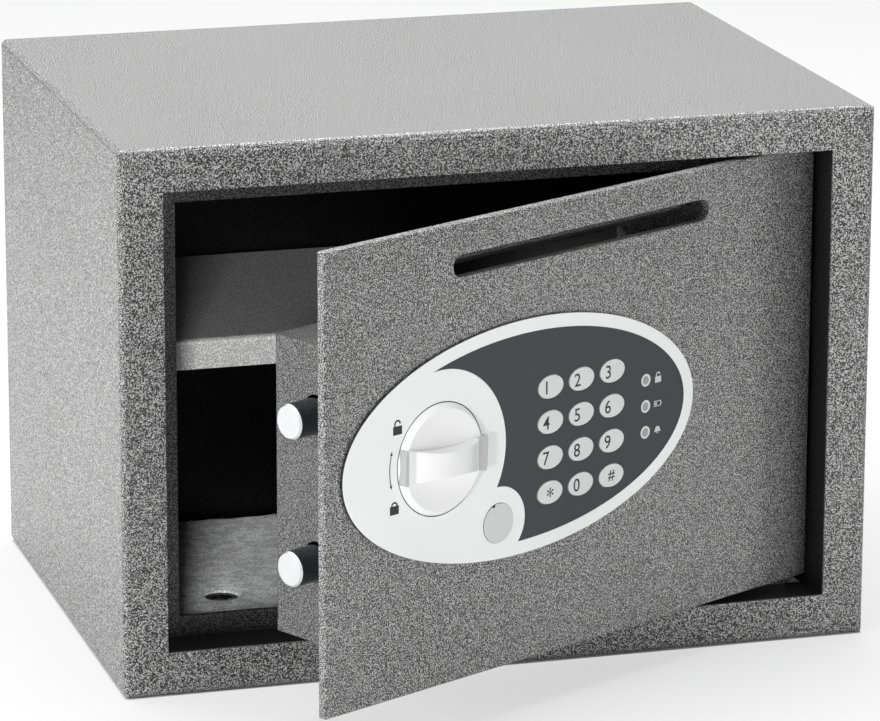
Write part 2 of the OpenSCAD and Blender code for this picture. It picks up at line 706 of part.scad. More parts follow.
// three indicator lenses, each with a raised rim
module led_lenses() color([0.80, 0.81, 0.82]) on_door() for (z = led_z) {
  rod_y(door_front - oval_t + panel_t, door_front - board_top - 0.9, led_x, z, led_r - 0.7);
  difference() {
    rod_y(door_front - oval_t - 0.2, door_front - oval_t + panel_t, led_x, z, led_r);
    rod_y(door_front - oval_t - 1, door_front - oval_t, led_x, z, led_r - 1);
  }
}

// tray that holds the keypad's board in the plate's window, hung by its rim
module keypad_housing() color(black) on_door() difference() {
  union() {
    standing(board_top - board_t - housing_floor, gasket_t) board_outline(housing_gap + housing_wall);
    standing(0, gasket_t) board_outline(housing_gap + housing_wall + 2);
  }
  standing(board_top - board_t, oval_t) board_outline(housing_gap);
  rod_y(door_front, door_back + 1, board_x1 - 11, led_z[1] - 6, 4);
}

// printed board behind the keys
module keypad_board() color(board_green) on_door()
  standing(board_top - board_t, board_top) board_outline();

// silicone sheet between the keys
mat_t = 0.6;
module key_mat() color([0.55, 0.55, 0.56]) on_door() standing(board_top, board_top + mat_t) difference() {
  board_outline(-1);
  each_key() key_outline(1.2);
}

// one key: flat oval cap on a flange that keeps it behind the escutcheon
key_seat = board_top + key_travel + 0.1;
module key(col, row) color([0.90, 0.91, 0.90]) on_door() translate([key_x[col], 0, key_z[row]]) {
  standing(key_seat, oval_t + key_proud - 0.15) key_outline();
  standing(key_seat, oval_t + key_proud) key_outline(-0.15);
  standing(key_seat, key_seat + 0.6) key_outline(0.8);
}
module key_1() key(0, 0);
module key_2() key(1, 0);
module key_3() key(2, 0);
module key_4() key(0, 1);
module key_5() key(1, 1);
module key_6() key(2, 1);
module key_7() key(0, 2);
module key_8() key(1, 2);
module key_9() key(2, 2);
module key_star() key(0, 3);
module key_0() key(1, 3);
module key_hash() key(2, 3);

// ---------- what is drawn ----------

body_wrap();
front_frame();
back_panel();
door_jamb();
door_stop();
hinge_bracket_upper();
hinge_bracket_lower();
hinge_washer();
shelf_ledges();
floor_mat();
shelf();
door_plate();
hinge_knuckles();
hinge_pins();
deposit_chute();
deposit_baffle();
lock_box();
cover_posts();
cover_screws();
guide_studs();
solenoid_body();
solenoid_plunger();
control_board();
battery_tray();
batteries();
battery_cover();
override_barrel();
override_plug();
keyhole_cap();
bolt_carrier();
bolt_upper();
bolt_lower();
spindle_bush();
knob_spindle();
crank();
knob_dial();
knob_grip();
escutcheon();
escutcheon_gasket();
keypad_panel();
keypad_housing();
keypad_board();
key_mat();
led_lenses();
key_1();
key_2();
key_3();
key_4();
key_5();
key_6();
key_7();
key_8();
key_9();
key_star();
key_0();
key_hash();
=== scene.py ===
# Electronic deposit safe with its door ajar: painted steel cabinet and door, lock
# box with two bolts, knob, keypad in an oval escutcheon, chute, shelf and felt mat.
import bmesh
import bpy
import math
import random
from mathutils import Euler, Matrix, Vector


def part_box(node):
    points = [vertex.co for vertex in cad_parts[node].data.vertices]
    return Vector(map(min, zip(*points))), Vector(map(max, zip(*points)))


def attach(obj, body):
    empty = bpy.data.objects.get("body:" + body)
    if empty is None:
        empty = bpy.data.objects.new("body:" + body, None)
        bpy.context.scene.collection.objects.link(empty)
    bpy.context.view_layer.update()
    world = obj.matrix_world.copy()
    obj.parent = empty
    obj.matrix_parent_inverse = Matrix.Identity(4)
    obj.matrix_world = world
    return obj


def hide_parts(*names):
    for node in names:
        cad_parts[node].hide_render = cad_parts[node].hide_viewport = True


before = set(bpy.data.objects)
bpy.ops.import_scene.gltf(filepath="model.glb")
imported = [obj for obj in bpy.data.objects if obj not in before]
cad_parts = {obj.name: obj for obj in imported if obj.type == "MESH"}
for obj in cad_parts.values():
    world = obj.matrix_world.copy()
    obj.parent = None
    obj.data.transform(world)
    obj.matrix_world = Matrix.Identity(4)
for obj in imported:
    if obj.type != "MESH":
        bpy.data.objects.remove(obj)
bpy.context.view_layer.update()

# ---------- the photograph's view ----------
# A long lens stands in front of the safe, to its left and a little above it. The
# cabinet is 0.35 m wide, and its origin is under the middle of the base.
camera = bpy.data.objects.new("camera", bpy.data.cameras.new("camera"))
camera.data.sensor_fit = "HORIZONTAL"
camera.data.sensor_width = 36.0
camera.data.lens = 205.206
camera.data.clip_end = 200.0
camera.location = (-0.636418, -2.191466, 0.732425)
camera.rotation_euler = Euler((1.304898, -0.002896, -0.284867), "XYZ")
bpy.context.collection.objects.link(camera)
bpy.context.scene.camera = camera
bpy.context.scene.view_settings.view_transform = "Standard"


# ---------- how finishes are written ----------
# A Wire is one value inside a material, and sums and products of it add Math nodes.
# A Finish is one material: a Principled shader and what feeds its sockets.
def sum_of(operation, flip=False):
    """A method of Wire that adds one Math node, with its two values in turn or flipped."""
    def run(self, other):
        first, second = (other, self) if flip else (self, other)
        return self.finish.node("Math", {"operation": operation}, {0: first, 1: second})

    return run


class Wire:
    def __init__(self, finish, socket):
        self.finish, self.socket = finish, socket

    __add__ = __radd__ = sum_of("ADD")
    __mul__ = __rmul__ = sum_of("MULTIPLY")
    __sub__, __rsub__ = sum_of("SUBTRACT"), sum_of("SUBTRACT", True)
    __gt__, __lt__ = sum_of("GREATER_THAN"), sum_of("LESS_THAN")

    def __abs__(self):
        return self.finish.node("Math", {"operation": "ABSOLUTE"}, {0: self})

    def over(self, low, high):
        """0 below low, 1 above high and smooth between them."""
        settings = {"interpolation_type": "SMOOTHSTEP"}
        return self.finish.node("MapRange", settings, {0: self, 1: low, 2: high})


class Finish:
    def __init__(self, name, fixed):
        self.material = bpy.data.materials.new(name)
        self.material.use_nodes = True
        self.tree = self.material.node_tree
        self.shader = self.tree.nodes["Principled BSDF"]
        self.feed(fixed)
        self.place = self.node("TexCoord", {}, {}, "Object")

    def feed(self, links, node=None):
        for key, value in links.items():
            socket = (node or self.shader).inputs[key]
            if isinstance(value, Wire):
                self.tree.links.new(value.socket, socket)
            elif socket.type == "RGBA" and len(value) == 3:
                socket.default_value = (*value, 1.0)
            else:
                socket.default_value = value

    def node(self, kind, settings, links, output=0):
        """Any node, by its type: its settings first, then the values or links of its sockets."""
        node = self.tree.nodes.new("ShaderNode" + kind)
        for key, value in settings.items():
            setattr(node, key, value)
        self.feed(links, node)
        return Wire(self, node.outputs[output])

    def noise(self, scale, detail, roughness, stretch=(1.0, 1.0, 1.0)):
        """A cloudy value about 0.5; scale is in features a metre."""
        place = self.node("Mapping", {}, {"Vector": self.place, "Scale": stretch})
        links = {"Vector": place, "Scale": scale, "Detail": detail, "Roughness": roughness}
        return self.node("TexNoise", {}, links, "Fac")

    def mix(self, factor, first, second):
        """A colour between two colours."""
        return self.node("Mix", {"data_type": "RGBA"}, {0: factor, 6: first, 7: second}, 2)

    def bump(self, height, distance, strength):
        return self.node("Bump", {}, {"Height": height, "Distance": distance, "Strength": strength})

    def axis(self, name):
        """One coordinate of the place on the surface, in metres."""
        return self.node("SeparateXYZ", {}, {0: self.place}, name)


# ---------- lamps, floor and backdrop ----------
# A photographer's white table: a large soft lamp overhead, a smaller one at the left and
# a weak one in front, over a pale floor that keeps the safe's shadow.
def lamp(name, place, aim, width, height, power, only=()):
    """An area lamp; only names the things that it lights, and none means all."""
    data = bpy.data.lights.new(name, "AREA")
    data.shape, data.size, data.size_y, data.energy = "RECTANGLE", width, height, power
    thing = bpy.data.objects.new(name, data)
    thing.location = place
    thing.rotation_euler = (Vector(aim) - Vector(place)).to_track_quat("-Z", "Y").to_euler()
    bpy.context.collection.objects.link(thing)
    if only:
        lit = bpy.data.collections.new("lit_by_" + name)
        thing.light_linking.receiver_collection = lit
        for other in only:
            lit.objects.link(other)


lamp("lamp_over", (-0.1, 0.4, 1.9), (0.0, 0.0, 0.2), 2.4, 2.0, 55.0)
lamp("lamp_left", (-2.1, -0.75, 0.85), (0.0, 0.0, 0.12), 1.2, 1.2, 32.0)
lamp("lamp_front", (1.0, -2.5, 0.55), (0.0, 0.0, 0.12), 1.4, 1.0, 13.5)

world = bpy.data.worlds.new("white_room")
world.use_nodes = True
bpy.context.scene.world = world
air = world.node_tree
rays = air.nodes.new("ShaderNodeLightPath")
seen = air.nodes.new("ShaderNodeMath")
seen.operation = "MAXIMUM"
air.links.new(rays.outputs["Is Camera Ray"], seen.inputs[0])
air.links.new(rays.outputs["Is Glossy Ray"], seen.inputs[1])
level = air.nodes.new("ShaderNodeMapRange")
level.inputs["To Min"].default_value = 0.2
level.inputs["To Max"].default_value = 1.0
air.links.new(seen.outputs[0], level.inputs["Value"])
air.links.new(level.outputs[0], air.nodes["Background"].inputs["Strength"])
air.nodes["Background"].inputs["Color"].default_value = (1.0, 1.0, 1.0, 1.0)

half_width, half_depth, half_height = 0.175, 0.125, 0.125
floor_finish = Finish("pale_floor", {"Base Color": (0.80, 0.80, 0.80), "Roughness": 0.8})
glow = floor_finish.node("Emission", {}, {"Color": (1.0, 1.0, 1.0)})
under = (abs(floor_finish.axis("X")) < half_width) * (abs(floor_finish.axis("Y")) < half_depth)
seen_share = floor_finish.node("LightPath", {}, {}, "Is Camera Ray") * 0.6 * (1.0 - under)
surface = Wire(floor_finish, floor_finish.shader.outputs[0])
mixed = floor_finish.node("MixShader", {}, {0: seen_share, 1: surface, 2: glow})
floor_finish.feed({"Surface": mixed}, floor_finish.tree.nodes["Material Output"])
floor_mesh = bpy.data.meshes.new("floor")
reach = 30.0
floor_corners = [(-reach, -reach, 0), (reach, -reach, 0), (reach, reach, 0), (-reach, reach, 0)]
floor_mesh.from_pydata(floor_corners, [], [(0, 1, 2, 3)])
floor_mesh.materials.append(floor_finish.material)
floor = bpy.data.objects.new("floor", floor_mesh)
bpy.context.collection.objects.link(floor)


# ---------- painted steel: cabinet, door and lock box ----------
# Folded and welded sheet under hammered grey paint, whose skin has shrunk into fine
# light and dark flecks. The back sheet is let in, with a fine seam all round it.
sheet, seam, seam_end, skin = 0.002, 0.00025, 0.0002, 0.0015


def hammered(name, dark, light, cabinet=False):
    """Flecked paint. The cabinet's is painted nearly black and without coat inside, as painted shade, and
    has the back sheet's seam.
    """
    paint = Finish(name, {
        "Metallic": 0.25, "Coat Roughness": 0.25, "Coat IOR": 1.5, "Specular IOR Level": 0.25,
    })
    fleck = paint.noise(1900.0, 2.0, 0.6)
    drift = paint.noise(9.0, 3.0, 0.55)
    sharp = fleck.over(0.46, 0.62)
    middle = tuple(0.5 * (a + b) for a, b in zip(dark, light))
    colour = paint.mix((drift - 0.5) * 0.3 + 0.05, paint.mix(sharp, dark, light), middle)
    height, shine = fleck, drift * 0.2 + 0.3
    if cabinet:
        across, up = abs(paint.axis("X")), abs(paint.axis("Z") - half_height)
        back = paint.axis("Y")
        seam_x, seam_z = half_width - sheet, half_height - sheet
        upright = (abs(across - seam_x) < seam) * (up < seam_z + seam_end)
        level_seam = (abs(up - seam_z) < seam) * (across < seam_x + seam_end)
        gap = (upright + level_seam) * (back > half_depth - 0.0005)
        colour = paint.mix(gap, colour, (0.02, 0.02, 0.02))
        height = fleck - gap * 3.0
        # painted shade: inside the skin the cabinet paint is nearly black and has no coat
        shaded_inside = (across < half_width - skin) * (up < half_height - skin) * (abs(back) < half_depth - skin)
        painted_inner_shade = paint.mix(sharp, (0.004, 0.004, 0.004), (0.035, 0.035, 0.035))
        colour = paint.mix(shaded_inside, colour, painted_inner_shade)
        shine = shine * (1.0 - shaded_inside)
    paint.feed({
        "Base Color": colour,
        "Roughness": sharp * -0.12 + drift * 0.1 + 0.4,
        "Coat Weight": shine,
        "Normal": paint.bump(height, 0.00012, 0.6),
    })
    return paint.material


def coat(material, *names):
    """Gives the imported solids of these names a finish."""
    for name in names:
        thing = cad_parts[name]
        thing.data.materials.clear()
        thing.data.materials.append(material)


cabinet_paint = hammered("hammered_cabinet", (0.012, 0.012, 0.012), (0.62, 0.62, 0.617), True)
coat(cabinet_paint, "body_wrap", "front_frame", "back_panel", "door_jamb", "shelf_ledges")
# painted shade: the door stop's paint is darker than the cabinet's, for the shade in the rebate
coat(hammered("hammered_stop_painted_shade", (0.002, 0.002, 0.002), (0.16, 0.16, 0.159)), "door_stop")
door_paint = hammered("hammered_door", (0.030, 0.030, 0.030), (0.66, 0.66, 0.657))
coat(door_paint, "door_plate", "deposit_chute", "deposit_baffle")
# painted shade: the lock box's paint is darker than the door's, for the shade behind the door
coat(hammered("hammered_lock_box_painted_shade", (0.020, 0.020, 0.020), (0.34, 0.34, 0.338)), "lock_box")


# ---------- shelf ----------
# Thin folded sheet in the same hammered paint, resting on two ledges. It is given a paler paint than the
# cabinet, as painted light for the light on its lip.
shelf_paint = hammered("hammered_grey_painted_light", (0.34, 0.34, 0.338), (0.86, 0.86, 0.855))
coat(shelf_paint, "shelf")


# ---------- plated steel, brass and bolts ----------
# Zinc-plated brackets, knuckles, studs and screws with a faint milky bloom, hinge pins
# in polished chrome, washer, bush and key plug in machined brass, and turned bolts.
def plated(name, colour, roughness, ring_scale):
    """Bright metal with a milky bloom and fine turning rings."""
    metal = Finish(name, {"Metallic": 1.0})
    bloom = metal.noise(160.0, 4.0, 0.6)
    turned = metal.noise(ring_scale, 2.0, 0.5, (1.0, 1.0, 0.02))
    metal.feed({
        "Base Color": metal.mix(bloom.over(0.3, 0.8) * 0.35, colour, tuple(0.72 * c for c in colour)),
        "Roughness": bloom * 0.18 + turned * 0.06 + roughness,
        "Normal": metal.bump(turned + bloom * 0.3, 0.00003, 0.4),
    })
    return metal.material


zinc = plated("bright_zinc", (0.60, 0.61, 0.60), 0.24, 900.0)
chrome = plated("polished_chrome", (0.62, 0.63, 0.65), 0.05, 700.0)
brass = plated("machined_brass", (0.66, 0.48, 0.20), 0.22, 900.0)
coat(zinc, "hinge_bracket_upper", "hinge_bracket_lower", "hinge_knuckles", "cover_posts", "cover_screws")
coat(zinc, "guide_studs", "solenoid_plunger", "bolt_carrier", "crank", "knob_spindle", "override_barrel")
coat(chrome, "hinge_pins")
coat(brass, "hinge_washer", "spindle_bush", "override_plug")

# the bolts' sides are painted dark, as painted shade for the dark interior they reflect, and the noses are
# faced bright
bolt_steel = Finish("turned_steel", {"Metallic": 1.0})
bolt_grain = bolt_steel.noise(420.0, 3.0, 0.6)
bolt_rings = bolt_steel.noise(500.0, 1.0, 0.5)
door_angle = math.radians(27.3)
hinge_line = Vector((0.143, -0.097, 0.0))
plate_front = -0.1073


def from_hinge(finish):
    """How far a place lies across and into the door from its hinge line, in metres."""
    x, y = finish.axis("X") - hinge_line.x, finish.axis("Y") - hinge_line.y
    cos, sin = math.cos(door_angle), math.sin(door_angle)
    return x * cos + y * sin, y * cos - x * sin


def behind_face(finish, out):
    """1 where a place is less than out in front of the door plate."""
    return from_hinge(finish)[1] > plate_front - hinge_line.y - out


nose_start = -0.2843
nose = from_hinge(bolt_steel)[0] < nose_start
worn = bolt_grain.over(0.35, 0.75) * 0.3
# painted shade: the sides' steel colour is dark
shaded_side = bolt_steel.mix(worn, (0.13, 0.135, 0.15), (0.08, 0.083, 0.09))
bright = bolt_steel.mix(worn, (0.74, 0.745, 0.75), (0.6, 0.605, 0.61))
bolt_steel.feed({
    "Base Color": bolt_steel.mix(nose, shaded_side, bright),
    "Roughness": bolt_grain * 0.08 + nose * 0.2 + 0.1,
    "Normal": bolt_steel.bump(bolt_rings, 0.00002, 0.25),
})
coat(bolt_steel.material, "bolt_upper", "bolt_lower")


# ---------- black and lacquered things inside the lock box ----------
# Moulded black tray, battery cover, solenoid and keypad housing with a fine spark
# texture, the lacquered boards, the silicone key sheet and the cells' plain sleeves.
def moulded(name, colour, roughness, grain, depth, gloss=0.0, edge_shade_out=0.0, shaded_lands=()):
    """A moulded plastic. It is painted nearly black, as painted shade, below a given height out from the
    door plate, and painted greyer, as painted shade, outside two lands given in metres across from the
    hinge line."""
    plastic = Finish(name, {"Specular IOR Level": 0.5, "Coat Weight": gloss})
    spark = plastic.noise(grain, 3.0, 0.6)
    touch = plastic.noise(14.0, 3.0, 0.5)
    shade = plastic.mix(touch.over(0.35, 0.75) * 0.5, colour, tuple(0.93 * c for c in colour))
    # painted shade: the grip's end lands are painted greyer, for the shade beside the arched bar
    if shaded_lands:
        across = from_hinge(plastic)[0]
        land_shade_mask = (across < shaded_lands[0]) + (across > shaded_lands[1])
        shade = plastic.mix(land_shade_mask, shade, tuple(0.6 * c for c in colour))
    # painted shade: the side walls low on the door plate are painted nearly black
    if edge_shade_out:
        shade = plastic.mix(behind_face(plastic, edge_shade_out), shade, (0.03, 0.03, 0.032))
    plastic.feed({
        "Base Color": shade,
        "Roughness": touch * 0.12 + spark * 0.05 + roughness,
        "Normal": plastic.bump(spark, depth, 0.35),
    })
    return plastic.material


black = moulded("black_moulding", (0.018, 0.018, 0.019), 0.38, 1500.0, 0.00008)
coat(black, "battery_tray", "battery_cover", "solenoid_body", "keypad_housing")
coat(moulded("grey_silicone", (0.22, 0.22, 0.23), 0.62, 2400.0, 0.00004), "key_mat")
coat(moulded("black_foam", (0.012, 0.012, 0.012), 0.75, 3000.0, 0.00006), "escutcheon_gasket")

lacquer = Finish("green_lacquer", {"Specular IOR Level": 0.6})
tracks = lacquer.node("TexBrick", {}, {
    "Vector": lacquer.place, "Color1": (0.010, 0.085, 0.035), "Color2": (0.014, 0.11, 0.045),
    "Mortar": (0.03, 0.20, 0.08), "Scale": 260.0, "Mortar Size": 0.05,
})
film = lacquer.noise(60.0, 3.0, 0.5)
lacquer.feed({
    "Base Color": tracks,
    "Roughness": film * 0.12 + 0.22,
    "Normal": lacquer.bump(film, 0.00005, 0.3),
})
coat(lacquer.material, "control_board", "keypad_board")

sleeve = Finish("cell_sleeve", {"Coat Weight": 0.3, "Coat Roughness": 0.15})
cell_middle, sleeve_half = 0.091, 0.0225
cell_end = abs(sleeve.axis("Z") - cell_middle) > sleeve_half
rub = sleeve.noise(300.0, 2.0, 0.5)
sleeve.feed({
    "Base Color": sleeve.mix(cell_end, (0.20, 0.21, 0.23), (0.62, 0.60, 0.55)),
    "Metallic": cell_end * 0.8,
    "Roughness": rub * 0.1 + 0.25,
    "Normal": sleeve.bump(rub, 0.00003, 0.2),
})
coat(sleeve.material, "batteries")


# ---------- escutcheon ----------
# One flat oval plate in satin pale grey, cut out for the knob and the cap, sunk for the
# dark panel and bonded to the door on a ring of black foam.
sharp_from = 34.0


def piece(name, mesh, finish, body, replaced=(), smooth=35.0):
    """A finished piece that rides on a body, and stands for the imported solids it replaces."""
    mesh.materials.clear()
    mesh.materials.append(finish)
    thing = bpy.data.objects.new(name, mesh)
    bpy.context.collection.objects.link(thing)
    mesh.shade_smooth()
    mesh.set_sharp_from_angle(angle=math.radians(smooth))
    if replaced:
        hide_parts(*replaced)
    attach(thing, body)
    return thing


def eased(node, width, segments, finish, body):
    """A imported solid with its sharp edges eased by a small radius, in metres."""
    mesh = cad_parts[node].data.copy()
    tool = bmesh.new()
    tool.from_mesh(mesh)
    bmesh.ops.remove_doubles(tool, verts=tool.verts, dist=1e-6)
    for edge in tool.edges:
        edge.smooth = True
    flat_below = math.radians(1.0)
    bmesh.ops.dissolve_limit(tool, angle_limit=flat_below, verts=tool.verts, edges=tool.edges)
    sharp = [e for e in tool.edges if e.is_manifold and e.calc_face_angle(0.0) > math.radians(sharp_from)]
    bmesh.ops.bevel(tool, geom=sharp, offset=width, segments=segments, profile=0.5,
                    affect="EDGES", clamp_overlap=True)
    tool.to_mesh(mesh)
    tool.free()
    if "custom_normal" in mesh.attributes:
        mesh.attributes.remove(mesh.attributes["custom_normal"])
    thing = piece(node + "_eased", mesh, finish, body, (node,), sharp_from)
    weighted = thing.modifiers.new("even_shading", "WEIGHTED_NORMAL")
    weighted.keep_sharp = True


# painted shade: the escutcheon's side wall is painted nearly black
shell_grey = moulded("shell_grey", (0.87, 0.885, 0.88), 0.34, 900.0, 0.00001, 0.1, 0.00132)
eased("escutcheon", 0.00008, 1, shell_grey, "door")


# ---------- keypad panel ----------
# A dark satin panel let into the escutcheon round the keys and the indicators.
panel_grey = moulded("panel_grey", (0.036, 0.037, 0.044), 0.46, 2200.0, 0.00002)
eased("keypad_panel", 0.00005, 1, panel_grey, "door")


# ---------- keys ----------
# Twelve flat pale caps in three columns, each on a flange behind the escutcheon. The
# figures are printed in dark ink, left of the middle on the keys with digits.
key_pale = moulded("key_pale", (0.83, 0.84, 0.835), 0.34, 1800.0, 0.00001)
ink = moulded("dark_ink", (0.012, 0.012, 0.014), 0.42, 2500.0, 0.00001)
key_columns = (-19.4, -0.3, 18.9)
key_rows = (146.5, 130.5, 114.4, 98.4)
key_names = ("1", "2", "3", "4", "5", "6", "7", "8", "9", "star", "0", "hash")
key_top, key_edge = 1.8, 0.15
key_wide, key_high = 7.7, 5.2
flange_wide, flange_high = 8.5, 6.0
digit_left = 2.7
ink_out = 0.02

# the face is drawn in millimetres as seen from the front of the shut door, across, up
# and outwards from the plate, and this matrix takes it to the door as it stands
door_turn = (Matrix.Translation(hinge_line) @ Matrix.Rotation(door_angle, 4, "Z")
             @ Matrix.Translation(-hinge_line))
face_axes = Matrix(((0.001, 0, 0, 0), (0, 0, -0.001, plate_front), (0, 0.001, 0, 0), (0, 0, 0, 1)))
on_face = door_turn @ face_axes


def drawn(name, points, faces, finish, body, replaced=()):
    """A piece from points in millimetres on the door's face."""
    mesh = bpy.data.meshes.new(name)
    mesh.from_pydata([on_face @ Vector(p) for p in points], [], faces)
    mesh.validate()
    tool = bmesh.new()
    tool.from_mesh(mesh)
    bmesh.ops.recalc_face_normals(tool, faces=tool.faces)
    tool.to_mesh(mesh)
    tool.free()
    piece(name, mesh, finish, body, replaced)


def domed(rings, around, centre):
    """Points and faces of a stack of ovals, closed at both ends.

    rings are (half width, half height, outward), from the back to the front."""
    points, faces = [], []
    for wide, high, out in rings:
        for i in range(around):
            a = 2 * math.pi * i / around
            points.append((centre[0] + wide * math.cos(a), centre[1] + high * math.sin(a), out))
    for r in range(len(rings) - 1):
        for i in range(around):
            j = (i + 1) % around
            faces.append((r * around + i, r * around + j, (r + 1) * around + j, (r + 1) * around + i))
    faces.append(tuple(reversed(range(around))))
    faces.append(tuple((len(rings) - 1) * around + i for i in range(around)))
    return points, faces


def printed(name, word, size, centre, body):
    """A flat ink figure about a place on a key."""
    curve = bpy.data.curves.new(name, "FONT")
    curve.body, curve.size = word, size
    curve.align_x, curve.align_y = "CENTER", "CENTER"
    curve.resolution_u = 4
    curve.extrude, curve.offset = 0.03, 0.04
    loose = bpy.data.objects.new(name + "_outline", curve)
    bpy.context.collection.objects.link(loose)
    shapes = bpy.context.evaluated_depsgraph_get()
    mesh = bpy.data.meshes.new_from_object(loose.evaluated_get(shapes))
    bpy.data.objects.remove(loose)
    low = Vector((min(v.co.x for v in mesh.vertices), min(v.co.y for v in mesh.vertices)))
    high = Vector((max(v.co.x for v in mesh.vertices), max(v.co.y for v in mesh.vertices)))
    middle = (low + high) / 2
    for v in mesh.vertices:
        x, z = v.co.x - middle.x, v.co.y - middle.y
        v.co = on_face @ Vector((centre[0] + x, centre[1] + z, key_top + v.co.z + ink_out))
    piece(name, mesh, ink, body)


for place, key in enumerate(key_names):
    middle = (key_columns[place % 3], key_rows[place // 3])
    rings = [(flange_wide, flange_high, -0.4), (flange_wide, flange_high, 0.2), (key_wide, key_high, 0.2)]
    for step in range(5):
        a = math.radians(22.5 * step)
        inset = key_edge * (1 - math.cos(a))
        rings.append((key_wide - inset, key_high - inset, key_top - key_edge * (1 - math.sin(a))))
    points, faces = domed(rings, 56, middle)
    drawn("key_cap_" + key, points, faces, key_pale, "key_" + key, ("key_" + key,))
    word = {"star": "*", "hash": "#"}.get(key, key)
    size = 10.0 if key == "star" else 7.0 if key == "hash" else 8.5
    spot = middle if word in "*#" else (middle[0] - digit_left, middle[1])
    printed("figure_" + key, word, size, spot, "key_" + key)


# ---------- indicators ----------
# Three frosted lenses, each pressed into a white ring.
ring_white = moulded("ring_white", (0.84, 0.84, 0.84), 0.3, 1500.0, 0.00001)
lens_grey = moulded("lens_grey", (0.36, 0.37, 0.38), 0.2, 600.0, 0.00002, 0.5)
lens_x, lens_rows = 40.4, (138.1, 126.0, 114.0)
ring_profile = ((2.9, 1.1), (2.9, 1.58), (2.82, 1.67), (2.7, 1.7), (2.2, 1.7), (2.02, 1.64), (1.95, 1.45))
lens_r = 1.9
lens_turns = [math.radians(a) for a in (0, 15, 30, 45, 60, 75, 86)]
for place, up in enumerate(lens_rows):
    middle = (lens_x, up)
    points, faces = domed([(r, r, out) for r, out in ring_profile], 40, middle)
    replaced = ("led_lenses",) if place == 0 else ()
    drawn("indicator_ring_%d" % (place + 1), points, faces, ring_white, "door", replaced)
    rings = [(lens_r, lens_r, 1.42)]
    rings += [(lens_r * math.cos(a), lens_r * math.cos(a), 1.47 + 0.18 * math.sin(a)) for a in lens_turns]
    points, faces = domed(rings, 40, middle)
    drawn("indicator_lens_%d" % (place + 1), points, faces, lens_grey, "door")


# ---------- knob ----------
# A domed dial, dished inside its rim, with a waisted and arched grip bar across it,
# moulded together in pearl grey. The bar's end lands are painted greyer, and the low
# side walls of dial and grip painted dark, both as painted shade.
knob_centre = (-85.9, 126.9)
knob_edge, land_left, land_right = 0.0004, -22.4, 18.8
shaded_lands = [0.001 * (knob_centre[0] + land) - hinge_line.x for land in (land_left, land_right)]
knob_pearl = moulded("knob_pearl", (0.87, 0.875, 0.87), 0.27, 700.0, 0.00001, 0.25, 0.0014)
grip_pearl = moulded("grip_pearl", (0.82, 0.825, 0.82), 0.27, 700.0, 0.00001, 0.25, 0.0014, shaded_lands)
eased("knob_dial", knob_edge, 3, knob_pearl, "knob")
eased("knob_grip", knob_edge, 3, grip_pearl, "knob")


# ---------- keyhole cap ----------
# A round grey cap over the emergency keyhole, with a nick for a fingernail.
# painted shade: the cap's side wall is painted nearly black
cap_grey = moulded("cap_grey", (0.63, 0.64, 0.64), 0.36, 1500.0, 0.00002, 0.0, 0.00165)
eased("keyhole_cap", 0.00015, 2, cap_grey, "keyhole_cap")


# ---------- printed signs ----------
# Plain printed signs: an arc with two arrow heads beside the knob between an open and
# a shut padlock, and a small white padlock, battery and bell beside the indicators.
face_out, ink_thick = 1.5, 0.05


def flat_shape(name, outlines, finish):
    """Thin ink shapes on the escutcheon, each a closed outline in millimetres."""
    points, faces = [], []
    for outline in outlines:
        n, base = len(outline), len(points)
        points += [(x, z, out) for out in (face_out, face_out + ink_thick) for x, z in outline]
        faces.append(tuple(base + n + i for i in range(n)))
        faces += [(base + i, base + (i + 1) % n, base + n + (i + 1) % n, base + n + i) for i in range(n)]
    drawn(name, points, faces, finish, "door")


def arc_band(centre, radius, width, start, end, steps=24):
    """The outline of a curved line."""
    turns = [math.radians(start + (end - start) * i / steps) for i in range(steps + 1)]
    outer, inner = ([(centre[0] + r * math.cos(a), centre[1] + r * math.sin(a)) for a in turns]
                    for r in (radius + width / 2, radius - width / 2))
    return outer + inner[::-1]


def padlock(centre, size, shut=False):
    """The outlines of a padlock: its body, its shackle and one leg, or two if it is shut."""
    body = [(-0.5, -0.62), (0.5, -0.62), (0.5, 0.12), (-0.5, 0.12)]
    lift = 0.12 if shut else 0.3
    shackle = arc_band((0, lift), 0.29, 0.15, 0, 180, 12)
    legs = [[(-0.365, 0.1), (-0.215, 0.1), (-0.215, lift), (-0.365, lift)]]
    if shut:
        legs.append([(0.215, 0.1), (0.365, 0.1), (0.365, lift), (0.215, lift)])
    return [[(centre[0] + size * x, centre[1] + size * z) for x, z in outline]
            for outline in [body, shackle, *legs]]


def on_circle(radius, angle):
    """A place about the knob's centre."""
    a = math.radians(angle)
    return knob_centre[0] + radius * math.cos(a), knob_centre[1] + radius * math.sin(a)


def arrow_head(angle, way):
    """An arrow head at the arc's end; way is 1 for anticlockwise and -1 for clockwise."""
    tip = on_circle(arc_r, angle + way * math.degrees(arrow / arc_r))
    return [tip, on_circle(arc_r + arrow * 0.42, angle), on_circle(arc_r - arrow * 0.42, angle)]


arc_r, arc_start, arc_end, arrow = 29.6, 166, 192, 1.8
lock_r, lock_size = 31.4, 5.2
signs = [arc_band(knob_centre, arc_r, 0.45, arc_start, arc_end)]
signs += [arrow_head(arc_start, -1), arrow_head(arc_end, 1)]
signs += padlock(on_circle(lock_r, 143), lock_size) + padlock(on_circle(lock_r, 211), lock_size, True)
flat_shape("knob_signs", signs, ink)

sign_white = moulded("sign_white", (0.72, 0.72, 0.73), 0.4, 1500.0, 0.00001)
sign_x = lens_x + 7.8


def bar(left, low, right, high, up):
    """A rectangle beside the lens at a height."""
    return [(sign_x + left, up + low), (sign_x + right, up + low), (sign_x + right, up + high),
            (sign_x + left, up + high)]


